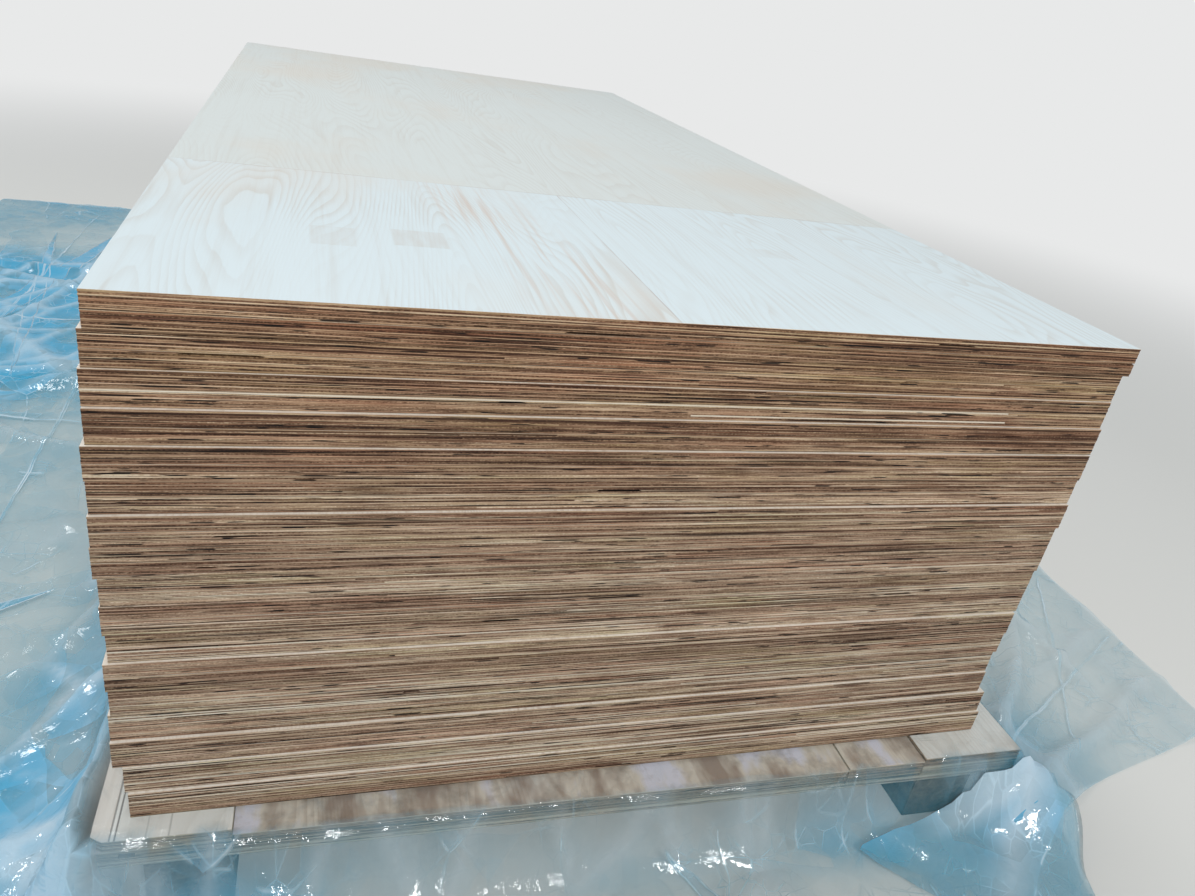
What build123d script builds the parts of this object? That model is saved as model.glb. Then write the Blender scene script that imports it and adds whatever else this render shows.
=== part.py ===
"""A pallet load of plywood: sheets laid in lifts of two on a low pallet, with the packing film
spread under them and over the floor, ready to be folded up round the load.

Millimetres. The origin is on the floor under the middle of the pallet, +X is to the right and +Y to the
back along the sheets, and +Z is up.
"""
import os
from math import cos, radians, sin

from build123d import *

# Plywood sheets
sheet_width = 1220.0
sheet_length = 2440.0
sheet_thickness = 19.05
sheets_per_lift = 2
sheet_gap = 0.24

# The stack lies a little askew on its pallet
stack_shift_x = -25.0
stack_shift_y = -3.0
stack_turn = 0.8

# How each lift was pushed into place, from the top down: to the right, to the back, and turned (degrees)
lift_places = [
    (0.0, -1.5, 0.00),
    (-6.0, 2.5, 0.03),
    (-7.5, 0.0, -0.02),
    (-8.0, -3.5, 0.02),
    (-11.0, -7.0, -0.03),
    (-11.5, -4.5, 0.03),
    (-12.0, -8.5, 0.00),
    (-13.0, -6.0, -0.04),
    (-11.0, -3.5, 0.03),
    (-12.0, -1.5, -0.02),
    (-10.5, 1.0, 0.03),
    (-14.5, -2.5, -0.03),
    (-14.0, 0.5, 0.02),
    (-16.5, 2.5, -0.02),
    (-18.0, -1.0, 0.03),
    (-6.0, -4.0, -0.03),
    (-3.5, -7.0, 0.02),
]

# Pallet deck: how far it stands out past the sheets, and its boards from the left to the right
pallet_margin = 50.0
underlay_thickness = 9.0
side_board_thickness = 18.0
side_panel_thickness = 18.0
left_board_width = 155.0
right_board_width = 177.0
filler_width = 132.0
middle_board_drop = 9.0
filler_drop = 6.0
board_joint = 0.3

# A gap in the core of the left side board, open at its front end, and the broken front corner above it
core_gap_width = 11.0
core_gap_height = 7.0
core_gap_depth = 60.0
core_gap_from_side = 36.0
broken_corner_width = 14.0
broken_corner_depth = 9.0

# Bearers
bearer_width = 100.0
bearer_height = 80.0
bearer_set_back = 2.0
centre_bearer_set_back = 120.0

# Packing film
film_thickness = 1.0
film_slack = 1.0
film_foot_flare = 42.0
film_foot_corner = 60.0
film_reach_left = 955.0
film_reach_right = 640.0
film_reach_front = 283.0
film_reach_back = 700.0
film_corner_pull_x = 580.0
film_corner_pull_y = 340.0
film_edge_radius = 45.0

# Sizes, heights and places that follow from the sizes above
pallet_width = sheet_width + 2 * pallet_margin
pallet_length = sheet_length + 2 * pallet_margin
underlay_bottom = bearer_height
side_board_bottom = underlay_bottom + underlay_thickness
side_panel_bottom = side_board_bottom + side_board_thickness
deck_top = side_panel_bottom + side_panel_thickness
middle_board_left = -pallet_width / 2 + left_board_width + board_joint
filler_right = pallet_width / 2 - right_board_width - board_joint
filler_left = filler_right - filler_width
middle_board_right = filler_left - board_joint
left_bearer_x = -pallet_width / 2 + left_board_width - bearer_width / 2
right_bearer_x = pallet_width / 2 - right_board_width + bearer_width / 2
stack_bottom = deck_top + film_thickness
film_top_corner = 1.5 * film_slack
sheet_count = sheets_per_lift * len(lift_places)

os.makedirs("parts", exist_ok=True)


def write(part, name):
    """Label one finished piece and write it as its own STEP file."""
    part.label = name
    export_step(part, f"parts/{name}.step")


def sheet_plane(index):
    """The plane under sheet number index, counted from the top of the stack, 0 being the top sheet."""
    right, back, turn = lift_places[index // sheets_per_lift]
    across = radians(stack_turn)
    centre_x = stack_shift_x + right * cos(across) - back * sin(across)
    centre_y = stack_shift_y + right * sin(across) + back * cos(across)
    sheets_below = sheet_count - 1 - index
    height = stack_bottom + sheets_below * (sheet_thickness + sheet_gap)
    direction = radians(stack_turn + turn)
    return Plane(origin=(centre_x, centre_y, height), x_dir=(cos(direction), sin(direction), 0), z_dir=(0, 0, 1))


def make_sheets():
    """The plywood sheets, each trimmed square and flush with the other sheet of its lift."""
    for index in range(sheet_count):
        with BuildPart() as sheet:
            with BuildSketch(sheet_plane(index)):
                Rectangle(sheet_width, sheet_length)
            extrude(amount=sheet_thickness)
        write(sheet.part, f"sheet_{index + 1:02d}")


def make_underlay():
    """The thin plywood sheet under the whole deck, which ties the bearers together."""
    with BuildPart() as underlay:
        with BuildSketch(Plane.XY.offset(underlay_bottom)):
            Rectangle(pallet_width, pallet_length)
        extrude(amount=underlay_thickness)
    write(underlay.part, "deck_underlay")


def make_inner_boards():
    """The wide board and the narrow filler board between the side boards, lower than the side panels."""
    for left, right, drop, name in (
        (middle_board_left, middle_board_right, middle_board_drop, "deck_middle"),
        (filler_left, filler_right, filler_drop, "deck_filler"),
    ):
        with BuildPart() as board:
            with BuildSketch(Plane.XY.offset(side_board_bottom)):
                with Locations(((left + right) / 2, 0)):
                    Rectangle(right - left, pallet_length)
            extrude(amount=deck_top - drop - side_board_bottom)
        write(board.part, name)


def side_board_place(side):
    """Where the left (-1) or right (1) side board lies: the middle of it across the pallet, and its width."""
    width = left_board_width if side < 0 else right_board_width
    return side * (pallet_width - width) / 2, width


def make_side_boards():
    """The lower board on each side; the left one has a gap in its core, open at the front end."""
    front = Plane(origin=(0, -pallet_length / 2, 0), x_dir=(1, 0, 0), z_dir=(0, -1, 0))
    gap_x = -pallet_width / 2 + core_gap_from_side + core_gap_width / 2
    gap_z = side_board_bottom + side_board_thickness / 2
    for side, name in ((-1, "side_board_left"), (1, "side_board_right")):
        centre, width = side_board_place(side)
        with BuildPart() as board:
            with BuildSketch(Plane.XY.offset(side_board_bottom)):
                with Locations((centre, 0)):
                    Rectangle(width, pallet_length)
            extrude(amount=side_board_thickness)
            if side < 0:
                with BuildSketch(front):
                    with Locations((gap_x, gap_z)):
                        Rectangle(core_gap_width, core_gap_height)
                extrude(amount=-core_gap_depth, mode=Mode.SUBTRACT)
        write(board.part, name)


def make_side_panels():
    """The pale-faced panel on each side that carries the stack; the left one has lost its front corner."""
    for side, name in ((-1, "side_panel_left"), (1, "side_panel_right")):
        centre, width = side_board_place(side)
        with BuildPart() as panel:
            with BuildSketch(Plane.XY.offset(side_panel_bottom)):
                with Locations((centre, 0)):
                    Rectangle(width, pallet_length)
            extrude(amount=side_panel_thickness)
            if side < 0:
                corner = panel.edges().filter_by(Axis.Z).group_by(Axis.Y)[0].sort_by(Axis.X)[0]
                front_face = panel.faces().sort_by(Axis.Y)[0]
                chamfer(corner, length=broken_corner_width, length2=broken_corner_depth, reference=front_face)
        write(panel.part, name)


def make_bearers():
    """The three lengthwise bearers; the outer ones are flush with the inner edges of the side boards."""
    for x, set_back, name in (
        (left_bearer_x, bearer_set_back, "bearer_left"),
        (0, centre_bearer_set_back, "bearer_centre"),
        (right_bearer_x, bearer_set_back, "bearer_right"),
    ):
        with BuildPart() as bearer:
            with BuildSketch(Plane.XY):
                with Locations((x, 0)):
                    Rectangle(bearer_width, pallet_length - 2 * set_back)
            extrude(amount=bearer_height)
        write(bearer.part, name)


def film_drape(height, growth):
    """The hollow under the film, or its outside: a block from the floor to a height, flared at its foot."""
    width = pallet_width + 2 * (film_slack + growth)
    length = pallet_length + 2 * (film_slack + growth)
    with BuildPart() as drape:
        with BuildSketch(Plane.XY) as foot:
            Rectangle(width + 2 * film_foot_flare, length + 2 * film_foot_flare)
            chamfer(foot.vertices(), film_foot_corner + growth / 2)
        with BuildSketch(Plane.XY.offset(height)) as top:
            Rectangle(width, length)
            chamfer(top.vertices(), film_top_corner + growth / 2)
        loft()
    return drape.part


def make_film():
    """The packing film: over the deck, down past its edges and out over the floor to its cut edges."""
    left = -pallet_width / 2 - film_reach_left
    right = pallet_width / 2 + film_reach_right
    front = -pallet_length / 2 - film_reach_front
    back = pallet_length / 2 + film_reach_back
    outside = film_drape(stack_bottom, film_thickness)
    hollow = film_drape(deck_top, 0)
    with BuildPart() as film:
        with BuildSketch(Plane.XY) as spread:
            with BuildLine():
                Polyline(
                    (left, front),
                    (right - film_corner_pull_x, front),
                    (right - film_corner_pull_x, front + film_corner_pull_y / 2),
                    (right, front + film_corner_pull_y),
                    (right, back),
                    (left, back),
                    close=True,
                )
            make_face()
            fillet(spread.vertices(), film_edge_radius)
        extrude(amount=film_thickness)
        add(outside)
        add(hollow, mode=Mode.SUBTRACT)
    write(film.part, "packing_film")


make_sheets()
make_underlay()
make_inner_boards()
make_side_boards()
make_side_panels()
make_bearers()
make_film()
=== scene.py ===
"""The looks of a pallet load of plywood: every sheet with its plies, voids and pale faces, the pallet under
it, and the crinkled packing film that is spread under the load and over the floor.

Metres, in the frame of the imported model: +Z up, +X to the right, +Y to the back, the floor at z = 0.
"""

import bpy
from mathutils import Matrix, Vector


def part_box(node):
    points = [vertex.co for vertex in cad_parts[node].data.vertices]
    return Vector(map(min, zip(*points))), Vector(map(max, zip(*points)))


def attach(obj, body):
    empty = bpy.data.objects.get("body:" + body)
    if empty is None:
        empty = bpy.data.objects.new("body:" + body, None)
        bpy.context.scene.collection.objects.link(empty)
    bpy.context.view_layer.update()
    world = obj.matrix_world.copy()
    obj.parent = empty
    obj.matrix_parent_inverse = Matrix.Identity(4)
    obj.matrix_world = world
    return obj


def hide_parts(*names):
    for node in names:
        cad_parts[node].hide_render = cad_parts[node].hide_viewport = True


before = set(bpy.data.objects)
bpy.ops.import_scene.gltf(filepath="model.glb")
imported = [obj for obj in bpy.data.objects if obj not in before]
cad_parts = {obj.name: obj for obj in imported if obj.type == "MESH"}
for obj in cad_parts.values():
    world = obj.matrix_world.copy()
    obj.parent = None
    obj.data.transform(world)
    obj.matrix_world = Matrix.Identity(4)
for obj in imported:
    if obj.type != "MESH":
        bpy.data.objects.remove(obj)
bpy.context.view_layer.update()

import math
import random

import bmesh
import bpy
import numpy as np
from mathutils import Matrix, Vector
from mathutils.kdtree import KDTree

# The camera, as it stood in front of the load
camera_place = (-0.4119, -2.0796, 1.0770)
camera_yaw = 19.27
camera_pitch = -26.35
camera_roll = -9.82
camera_focal_length = 27.03
camera_sensor_width = 36.0


def new_object(name, data):
    """A new object in the scene."""
    thing = bpy.data.objects.new(name, data)
    bpy.context.scene.collection.objects.link(thing)
    return thing


def unit(value):
    """A value kept between 0 and 1."""
    return np.clip(value, 0, 1)


def lattice(ix, iy, iz, seed):
    """A fixed random number from -1 to 1 for each point of a whole-number grid."""
    value = (ix * 374761393 + iy * 668265263 + iz * 1442695041 + seed * 974634777) & 0xFFFFFFFF
    value = ((value ^ (value >> 13)) * 1274126177) & 0xFFFFFFFF
    return ((value ^ (value >> 16)) & 0xFFFFFF) / 0x7FFFFF - 1.0


def soft_noise(x, y, z=0.0, seed=0):
    """Smooth noise from -1 to 1, with features about one unit wide; x, y and z are arrays or numbers."""
    x, y, z = np.broadcast_arrays(np.asarray(x, float), np.asarray(y, float), np.asarray(z, float))
    ix, iy, iz = (np.floor(value).astype(np.int64) for value in (x, y, z))
    fx, fy, fz = x - ix, y - iy, z - iz
    fx, fy, fz = (f * f * f * (f * (f * 6 - 15) + 10) for f in (fx, fy, fz))
    total = 0.0
    for dx in (0, 1):
        for dy in (0, 1):
            for dz in (0, 1):
                weight = (fx if dx else 1 - fx) * (fy if dy else 1 - fy) * (fz if dz else 1 - fz)
                total = total + weight * lattice(ix + dx, iy + dy, iz + dz, seed)
    return total


def crumple(x, y, size, seed):
    """Facets about one size wide, as in crumpled film: how far a point is from its facet's middle, and how
    much nearer that middle is than the next one, both as shares of the size."""
    u, v = x / size, y / size
    cell_x, cell_y = np.floor(u).astype(np.int64), np.floor(v).astype(np.int64)
    nearest = np.full(u.shape, 9.0)
    second = np.full(u.shape, 9.0)
    for dx in (-1, 0, 1):
        for dy in (-1, 0, 1):
            middle_x = cell_x + dx + 0.5 + 0.45 * lattice(cell_x + dx, cell_y + dy, 0, seed)
            middle_y = cell_y + dy + 0.5 + 0.45 * lattice(cell_x + dx, cell_y + dy, 1, seed)
            away = np.hypot(middle_x - u, middle_y - v)
            second = np.minimum(second, np.maximum(nearest, away))
            nearest = np.minimum(nearest, away)
    return nearest, second - nearest


# Node trees

def worked_out(operation, swapped=False):
    """A method of Wire that joins it to another value with one math node."""
    def join(self, other):
        return self.tree.math(operation, *((other, self) if swapped else (self, other)))

    return join


class Wire:
    """A node's output that is added, multiplied and raised like a number; each step makes a math node."""

    def __init__(self, tree, socket):
        self.tree, self.socket = tree, socket

    __add__ = __radd__ = worked_out("ADD")
    __mul__ = __rmul__ = worked_out("MULTIPLY")
    __sub__ = worked_out("SUBTRACT")
    __rsub__ = worked_out("SUBTRACT", swapped=True)
    __truediv__ = worked_out("DIVIDE")
    __pow__ = worked_out("POWER")


class Tree:
    """A node tree under construction: its methods make nodes and set or link their inputs."""

    def __init__(self, tree):
        self.tree = tree

    def give(self, target, value):
        if isinstance(value, Wire):
            self.tree.links.new(value.socket, target)
        else:
            target.default_value = value

    def add(self, kind, inputs=None, **settings):
        node = self.tree.nodes.new(kind)
        for name, value in settings.items():
            setattr(node, name, value)
        for socket, value in (inputs or {}).items():
            self.give(node.inputs[socket], value)
        return node

    def wire(self, kind, inputs=None, output=0, **settings):
        return Wire(self, self.add(kind, inputs, **settings).outputs[output])

    def math(self, operation, a, b=0.0, clamp=False):
        return self.wire("ShaderNodeMath", {0: a, 1: b}, operation=operation, use_clamp=clamp)

    def largest(self, a, b):
        return self.math("MAXIMUM", a, b)

    def size_of(self, value):
        return self.math("ABSOLUTE", value)

    def held(self, value):
        """A value kept between 0 and 1."""
        return self.math("ADD", value, 0.0, clamp=True)

    def mix(self, factor, a, b, blend="MIX"):
        return self.wire("ShaderNodeMix", {0: factor, 6: a, 7: b}, 2, data_type="RGBA", blend_type=blend)

    def tinted(self, factor, colour, tint):
        return self.mix(factor, colour, self.mix(1.0, colour, tint, "MULTIPLY"))

    def span(self, value, low, high, to_low=0.0, to_high=1.0, smooth=False):
        steps = {0: value, 1: low, 2: high, 3: to_low, 4: to_high}
        shape = "SMOOTHSTEP" if smooth else "LINEAR"
        return self.wire("ShaderNodeMapRange", steps, interpolation_type=shape)

    def combine(self, x=0.0, y=0.0, z=0.0):
        return self.wire("ShaderNodeCombineXYZ", {0: x, 1: y, 2: z})

    def parts(self, vector, kind="ShaderNodeSeparateXYZ"):
        node = self.add(kind, {0: vector})
        return [Wire(self, node.outputs[axis]) for axis in range(3)]

    def scaled(self, vector, factors):
        return self.wire("ShaderNodeVectorMath", {0: vector, 1: factors}, operation="MULTIPLY")

    def noise(self, vector, scale=1.0, detail=2.0, roughness=0.5, distortion=0.0, output="Fac"):
        inputs = {"Vector": vector, "Scale": scale, "Detail": detail, "Roughness": roughness}
        return self.wire("ShaderNodeTexNoise", {**inputs, "Distortion": distortion}, output)

    def place(self):
        """Where the shaded point lies in the load."""
        return self.wire("ShaderNodeTexCoord", output="Object")

    def painted(self, name):
        """The red, green, blue and alpha painted on the mesh under a name."""
        node = self.add("ShaderNodeAttribute", attribute_name=name, attribute_type="GEOMETRY")
        colours = self.parts(Wire(self, node.outputs["Color"]), "ShaderNodeSeparateColor")
        return colours + [Wire(self, node.outputs["Alpha"])]

    def use(self, group, inputs):
        """One use of a node group; returns its outputs by name."""
        node = self.add("ShaderNodeGroup", inputs, node_tree=group)
        return {output.name: Wire(self, output) for output in node.outputs}


def rgb(red, green, blue):
    """A linear colour from the 0 to 255 values of a screen colour."""
    shares = (value / 255 for value in (red, green, blue))
    return (*(s / 12.92 if s <= 0.04045 else ((s + 0.055) / 1.055) ** 2.4 for s in shares), 1.0)


def new_material(name):
    """An empty material and the tree to build it in."""
    material = bpy.data.materials.new(name)
    material.use_nodes = True
    material.node_tree.nodes.clear()
    return material, Tree(material.node_tree)


def finish_material(t, height, strength, distance, **inputs):
    """The bump and the Principled shader of a material; its other inputs are given by their names."""
    bump = t.wire("ShaderNodeBump", {"Strength": strength, "Distance": distance, "Height": height})
    inputs = {name.replace("_", " "): value for name, value in inputs.items()}
    shader = t.wire("ShaderNodeBsdfPrincipled", {**inputs, "Normal": bump})
    t.add("ShaderNodeOutputMaterial", {"Surface": shader})


def new_group(name, inputs, outputs):
    """A shader node group with named sockets; returns the group, its tree and its inputs by name."""
    group = bpy.data.node_groups.new(name, "ShaderNodeTree")
    kinds = {"value": "NodeSocketFloat", "colour": "NodeSocketColor", "vector": "NodeSocketVector"}
    for direction, sockets in (("INPUT", inputs), ("OUTPUT", outputs)):
        for socket_name, kind, *default in sockets:
            made = {"name": socket_name, "in_out": direction, "socket_type": kinds[kind]}
            socket = group.interface.new_socket(**made)
            if default:
                socket.default_value = default[0]
    t = Tree(group)
    return group, t, {given.name: Wire(t, given) for given in t.add("NodeGroupInput").outputs}


def ply_edge_group():
    """The sawn edge of plywood: streaky plies, dark glue lines, open joints, cracks and end-grain pores.

    Along runs along the edge in metres, Ply counts the plies upwards, Seed differs from piece to piece of
    ply, and Place is where the point lies in the load.
    """
    group, t, given = new_group(
        "ply_edge",
        [
            ("Along", "value"), ("Ply", "value"), ("Seed", "value"), ("Tone", "value", 0.5),
            ("Red", "value", 0.3), ("End grain", "value", 0.5), ("Place", "vector"), ("Pale", "value", 0.0),
        ],
        [("Color", "colour"), ("Roughness", "value"), ("Height", "value")],
    )
    along, ply, seed, red = (given[name] for name in ("Along", "Ply", "Seed", "Red"))
    place, pale = given["Place"], given["Pale"]
    not_pale = 1.0 - pale

    def drawn_out(along_scale, ply_value, third, detail=2.0, roughness=0.5):
        """Noise drawn out along the edge."""
        return t.noise(t.combine(along * along_scale, ply_value, third), 1.0, detail, roughness)

    in_ply = t.math("FRACT", ply)
    from_line = t.math("MINIMUM", in_ply, 1.0 - in_ply)
    nearest_line = t.math("ROUND", ply)
    height_mark = t.parts(place)[2] * 60.0
    per_ply = t.math("FLOOR", ply) * 3.7 + in_ply * 0.30
    streaks = drawn_out(4.5, per_ply, seed, 4.0, 0.60)
    fine = drawn_out(34.0, ply * 2.2, seed, 3.0, 0.62)
    speckle = drawn_out(360.0, ply * 1.15, seed, 2.0, 0.7)
    wide = t.scaled(place, (2.4, 2.4, 22.0))
    wide_tone = t.noise(wide, 1.0, 3.0, 0.6)
    wide_red = t.noise(wide, 1.35, 3.0, 0.6)
    mottle = t.noise(t.scaled(place, (13.0, 13.0, 110.0)), 1.0, 4.0, 0.65)

    light = given["Tone"] + (streaks - 0.5) * 1.32 + (fine - 0.5) * 0.68 + (wide_tone - 0.5) * 0.50
    # Painted shade: towards the top of the stack its front edge is painted darker, and further down also
    # tinted duller and warmer
    upper_shade = t.span(height_mark, 27.0, 44.0)
    top_rim = t.span(height_mark, 46.1, 46.6)
    light = light + (mottle - 0.5) * 0.66 - upper_shade * 0.12 + top_rim * 0.20
    light = t.held(light + (speckle - 0.52) * (0.30 + given["End grain"] * 0.95) * not_pale)
    ramp = t.add("ShaderNodeValToRGB", {0: light})
    stops = ramp.color_ramp.elements
    stops[0].color = rgb(76, 55, 43)
    stops[1].color = rgb(238, 224, 202)
    for position, colour in ((0.25, (130, 103, 83)), (0.5, (176, 150, 126)), (0.75, (208, 186, 160))):
        stops.new(position).color = rgb(*colour)

    blush = t.span(wide_red, 0.40, 0.66, 0.20, 1.0, smooth=True) * (red * 0.80)
    colour = t.tinted(blush, Wire(t, ramp.outputs[0]), rgb(240, 204, 192))
    olive = t.span(wide_red, 0.34, 0.52, 0.70, 0.10, smooth=True) * (1.0 - red)
    colour = t.tinted(olive, colour, rgb(236, 238, 208))
    # Painted shade: the upper part of the stack's front is tinted duller and warmer
    colour = t.tinted(upper_shade * 0.75, colour, rgb(244, 226, 206))
    stain = t.span(drawn_out(13.0, ply * 0.6, seed + 40.0), 0.58, 0.72, 0.0, 0.72, smooth=True)
    colour = t.mix(stain * not_pale, colour, rgb(94, 62, 50))

    ragged = (speckle - 0.5) * 0.25
    crack = t.span(drawn_out(15.0, per_ply, seed + 9.0, 2.0, 0.55) + ragged * 0.16, 0.640, 0.665)
    crack = crack * t.span(from_line, 0.05, 0.20)
    line_noise = drawn_out(6.0, nearest_line, height_mark, 3.0, 0.6)
    line = t.held(1.0 - from_line / t.span(line_noise, 0.36, 0.70, 0.05, 0.34))
    line = line ** 0.6 * t.span(line_noise, 0.34, 0.58, 0.25, 1.0, smooth=True)
    joint_noise = drawn_out(2.8, nearest_line * 1.7, height_mark + 31.0, 3.0)
    joint_reach = t.span(joint_noise, 0.56, 0.68, 0.0, 0.46) + ragged * 0.5
    open_joint = t.held(1.0 - t.span(from_line - joint_reach, -0.06, 0.02))
    open_joint = t.largest(open_joint * t.span(joint_noise, 0.565, 0.60), crack) * not_pale
    # The glue line under a sheet's own top veneer is thin and tight, and so are all near the stack's top
    tight = t.span(nearest_line, 10.4, 10.6, 1.0, 0.30) * t.span(top_rim, 0.0, 1.0, 1.0, 0.35)
    line, open_joint = line * tight, open_joint * tight
    colour = t.mix(line, colour, rgb(52, 35, 27))
    colour = t.mix(open_joint, colour, rgb(24, 16, 12))
    dark = t.largest(line, open_joint)
    pale_colour = t.mix(t.span(fine, 0.35, 0.75), rgb(236, 226, 208), rgb(212, 194, 168))
    t.add("NodeGroupOutput", {
        "Color": t.mix(pale * (1.0 - dark * 0.4), colour, pale_colour),
        "Roughness": t.span(light, 0.0, 1.0, 0.88, 0.68),
        "Height": fine + speckle * 0.8 - dark * 1.6,
    })
    return group


def veneer_group():
    """A rotary-cut face veneer: nested flames drawn out along the grain, fine fibres and broad pale clouds.

    Across and Along are metres across and along the grain; Figure is how strongly the flames show.
    """
    group, t, given = new_group(
        "face_veneer",
        [
            ("Across", "value"), ("Along", "value"), ("Seed", "value"), ("Figure", "value", 0.5),
            ("Ground", "colour", rgb(226, 230, 226)), ("Grain", "colour", rgb(190, 180, 160)),
            ("Cloud", "colour", rgb(218, 210, 196)),
        ],
        [("Color", "colour"), ("Roughness", "value"), ("Height", "value")],
    )

    def figure_noise(across_scale, along_scale, detail=2.0, roughness=0.5, distortion=0.0):
        place = t.combine(given["Across"] * across_scale, given["Along"] * along_scale, given["Seed"])
        return t.noise(place, 1.0, detail, roughness, distortion)

    field = figure_noise(4.6, 0.62, 1.5, 0.40, 0.15)
    shaken = (figure_noise(48.0, 7.0) - 0.5) * 0.010
    ring = t.math("FRACT", (field + shaken) * 78.0)
    line = t.span(ring, 0.0, 0.70, 1.0, 0.0, smooth=True) * t.span(ring, 0.0, 0.12, smooth=True)
    fibre = figure_noise(430.0, 12.0)
    streak = figure_noise(85.0, 2.5, 3.0, 0.6)
    cloud = figure_noise(2.4, 1.5, 4.0, 0.55)
    patchy = figure_noise(3.1, 1.9, 3.0, 0.6, 0.5)
    grain = line * (given["Figure"] * t.span(patchy, 0.36, 0.66, 0.10, 1.0, smooth=True))
    grain = t.held(grain + t.span(fibre, 0.46, 0.75) * 0.07 + t.span(streak, 0.50, 0.74) * 0.22)
    colour = t.mix(grain, given["Ground"], given["Grain"])
    t.add("NodeGroupOutput", {
        "Color": t.mix(t.span(cloud, 0.50, 0.72, 0.0, 0.42, smooth=True), colour, given["Cloud"]),
        "Roughness": t.span(grain, 0.0, 1.0, 0.44, 0.60),
        "Height": line * -0.4 + fibre,
    })
    return group


ply_edge = ply_edge_group()
face_veneer_figure = veneer_group()


def edge_reading(t):
    """The painted tones and lay coordinates of a laminate's edge, fed into the ply edge group."""
    along, ply, _ = t.parts(t.wire("ShaderNodeUVMap", uv_map="edge_lay"))
    tone, red, end_grain, seed = t.painted("ply_tone")
    return t.use(ply_edge, {
        "Along": along, "Ply": ply, "Seed": seed * 91.0, "Tone": tone, "Red": red, "End grain": end_grain,
        "Place": t.place(), "Pale": t.span(tone, 0.90, 0.94),
    })


def edge_material():
    """The sawn edges of the sheets; the plies' own tones are painted on the mesh."""
    material, t = new_material("plywood_edge")
    edge = edge_reading(t)
    finish_material(
        t, edge["Height"], 0.5, 0.0005,
        Base_Color=edge["Color"], Roughness=edge["Roughness"], Specular_IOR_Level=0.3,
    )
    return material


# Seams and repair patches of the face veneer, from the front left corner of a sheet; a patch is its middle
# across and along the sheet, then its width, length and how dark it is
cross_seam_place = 0.590
length_seam_place = 0.576
face_patches = (
    (0.220, 0.240, 0.052, 0.080, 0.26),
    (0.323, 0.256, 0.066, 0.072, 0.38),
    (0.842, 0.330, 0.070, 0.045, 0.20),
)


def face_material():
    """The pale cut veneer on the faces of the sheets: three leaves with three repair patches, with painted
    light: cool on the top sheet, warmer and brighter on the ledges below.
    """
    material, t = new_material("plywood_face")
    across, along, _ = t.parts(t.wire("ShaderNodeUVMap", uv_map="edge_lay"))
    _, lit_as_ledge, _, sheet_seed = t.painted("ply_tone")
    behind = t.math("GREATER_THAN", along, cross_seam_place)
    in_front = 1.0 - behind
    right_leaf = in_front * t.math("GREATER_THAN", across, length_seam_place)
    # Painted light: the top sheet's face is painted in the cool tint of the light on it, and the faces of
    # the sheets below, seen only as ledges in the stack's shade, are painted warmer and brighter; their
    # grain and clouds follow
    ground = t.mix(lit_as_ledge, t.mix(behind, rgb(219, 231, 234), rgb(217, 223, 220)), rgb(252, 244, 232))
    veneer = t.use(face_veneer_figure, {
        "Across": across, "Along": along, "Seed": sheet_seed * 57.0 + (behind * 13.0 + right_leaf * 29.0),
        "Figure": 0.46 - behind * 0.17, "Ground": ground,
        "Grain": t.mix(lit_as_ledge, rgb(196, 190, 180), rgb(218, 200, 178)),
        "Cloud": t.mix(lit_as_ledge, rgb(220, 208, 192), rgb(236, 220, 200)),
    })
    colour = veneer["Color"]
    stripes = t.noise(t.combine(across * 80.0, along * 14.0), 1.0, 4.0)
    for middle_across, middle_along, width, length, darkness in face_patches:
        off_across = t.size_of(across - middle_across) - width / 2
        off_along = t.size_of(along - middle_along) - length / 2
        inside = t.span(t.largest(off_across, off_along), -0.0015, 0.0015, 1.0, 0.0)
        share = inside * t.span(stripes, 0.34, 0.64, 0.35 * darkness, darkness)
        colour = t.mix(share, colour, rgb(198, 188, 176))

    from_streak = t.size_of(across - t.span(along, 0.0, 0.6, 0.50, 0.40))
    streaky = t.noise(t.combine(across * 110.0, along * 3.0), 1.0, 3.0)
    streak = t.span(from_streak, 0.02, 0.10, 0.55, 0.0) * t.span(streaky, 0.50, 0.66)
    colour = t.mix(streak * in_front, colour, rgb(206, 184, 166))

    broken = t.noise(t.combine(across * 9.0, along * 9.0))
    cross_line = t.span(t.size_of(along - cross_seam_place), 0.0003, 0.0018, 1.0, 0.0)
    length_line = in_front * t.span(t.size_of(across - length_seam_place), 0.0003, 0.0014, 1.0, 0.0)
    seam = t.largest(cross_line, length_line) * t.span(broken, 0.35, 0.6, 0.08, 0.55)
    colour = t.mix(seam, colour, rgb(168, 146, 130))
    finish_material(
        t, veneer["Height"], 0.18, 0.0003,
        Base_Color=colour, Roughness=veneer["Roughness"], Specular_IOR_Level=0.35,
    )
    return material


def deck_edge_material(name, wash, wash_share):
    """The older laminated edges of the pallet deck, washed over with dirt of one colour."""
    material, t = new_material(name)
    edge = edge_reading(t)
    dirt = t.span(t.noise(t.place(), 16.0, 5.0, 0.65), 0.36, 0.66, 0.55 * wash_share, wash_share)
    finish_material(
        t, edge["Height"], 0.7, 0.0008,
        Base_Color=t.mix(dirt, edge["Color"], wash), Roughness=0.8, Specular_IOR_Level=0.3,
    )
    return material


# The grooves along the left side panel, from the pallet's left edge, and how dark each is
groove_places = ((0.0215, 0.62), (0.0270, 0.75), (0.0600, 0.22), (0.0850, 0.32))


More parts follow.
